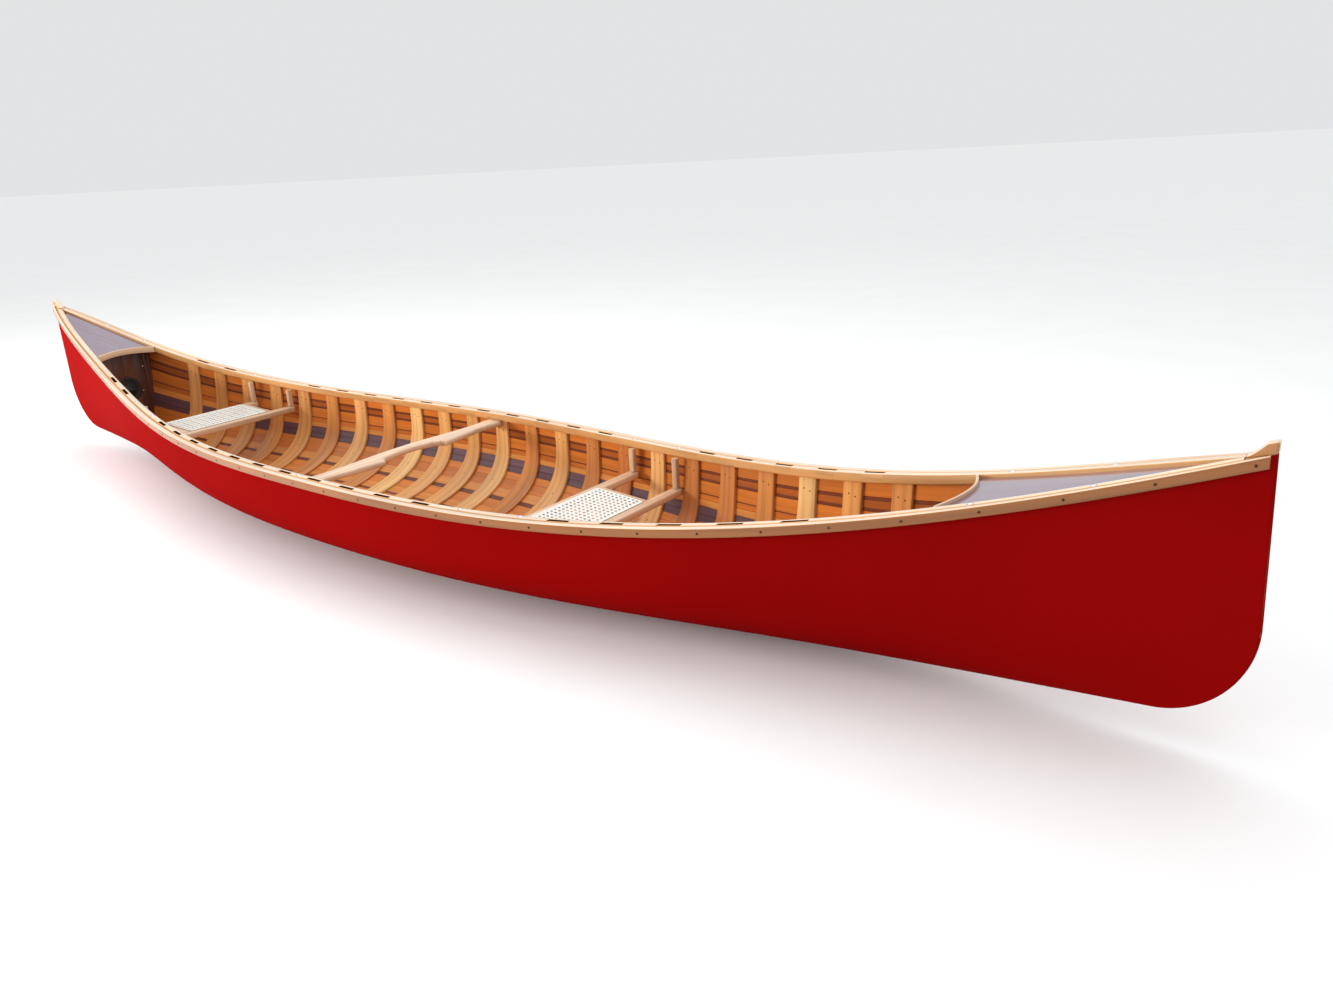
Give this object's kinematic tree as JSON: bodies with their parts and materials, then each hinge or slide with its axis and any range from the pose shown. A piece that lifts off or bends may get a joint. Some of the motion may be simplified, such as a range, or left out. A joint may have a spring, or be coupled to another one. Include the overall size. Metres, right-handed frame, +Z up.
{
  "type": "open canoe",
  "caption": "Double-ended open canoe with ribbed cedar-strip hull, red skin, wooden gunwales, carved yoke, cane seats and decked ends.",
  "frame": {"origin": "on the bottom of the keel line, amidships", "axes": "+X towards the bow, +Y to port, +Z up"},
  "size_m": [4.9782, 0.8944, 0.6663],
  "materials": {
    "skin": "deep gloss red paint over glass cloth",
    "cedar": "varnished cedar strips, some light and some dark",
    "walnut": "varnished dark walnut strake",
    "rib": "varnished steamed ribs, honey to red-brown",
    "gunwale": "satin varnished ash",
    "deck": "gloss varnished walnut",
    "coaming": "varnished ash",
    "bulkhead": "varnished dark mahogany staves",
    "hatch": "black moulded plastic",
    "seat": "satin varnished ash",
    "cane": "white woven cane"
  },
  "bodies": {
    "hull": {"bilge_strake_port": "walnut", "bilge_strake_starboard": "walnut", "bow_bulkhead": "bulkhead", "bow_coaming": "coaming", "bow_deck": "deck", "bow_hatch_ring": "hatch", "bow_seat_cane": "cane", "bow_seat_frame": "seat", "bow_seat_hanger_1": "seat", "bow_seat_hanger_2": "seat", "bow_seat_hanger_3": "seat", "bow_seat_hanger_4": "seat", "bow_stem": "gunwale", "bow_stem_head": "gunwale", "floor_planking": "cedar", "hull_skin": "skin", "inwale_port": "gunwale", "inwale_starboard": "gunwale", "outwale_port": "gunwale", "outwale_starboard": "gunwale", "rib_01": "rib", "rib_02": "rib", "rib_03": "rib", "rib_04": "rib", "rib_05": "rib", "rib_06": "rib", "rib_07": "rib", "rib_08": "rib", "rib_09": "rib", "rib_10": "rib", "rib_11": "rib", "rib_12": "rib", "rib_13": "rib", "rib_14": "rib", "rib_15": "rib", "rib_16": "rib", "rib_17": "rib", "rib_18": "rib", "rib_19": "rib", "rib_20": "rib", "rib_21": "rib", "rib_22": "rib", "rib_23": "rib", "side_planking_port": "cedar", "side_planking_starboard": "cedar", "stern_bulkhead": "bulkhead", "stern_coaming": "coaming", "stern_deck": "deck", "stern_hatch_ring": "hatch", "stern_seat_cane": "cane", "stern_seat_frame": "seat", "stern_seat_hanger_1": "seat", "stern_seat_hanger_2": "seat", "stern_seat_hanger_3": "seat", "stern_seat_hanger_4": "seat", "stern_stem": "gunwale", "stern_stem_head": "gunwale", "yoke": "seat"},
    "bow_hatch_lid": {"bow_hatch_cover": "hatch"},
    "stern_hatch_lid": {"stern_hatch_cover": "hatch"}
  },
  "joints": [
    {"name": "bow_hatch_turn", "type": "hinge", "parent": "hull", "child": "bow_hatch_lid", "pos_m": [1.93823, 0, 0.295], "axis": [-1, 0, 0], "range_deg": [0, 90]},
    {"name": "stern_hatch_turn", "type": "hinge", "parent": "hull", "child": "stern_hatch_lid", "pos_m": [-1.93823, 0, 0.295], "axis": [1, 0, 0], "range_deg": [0, 90]}
  ]
}
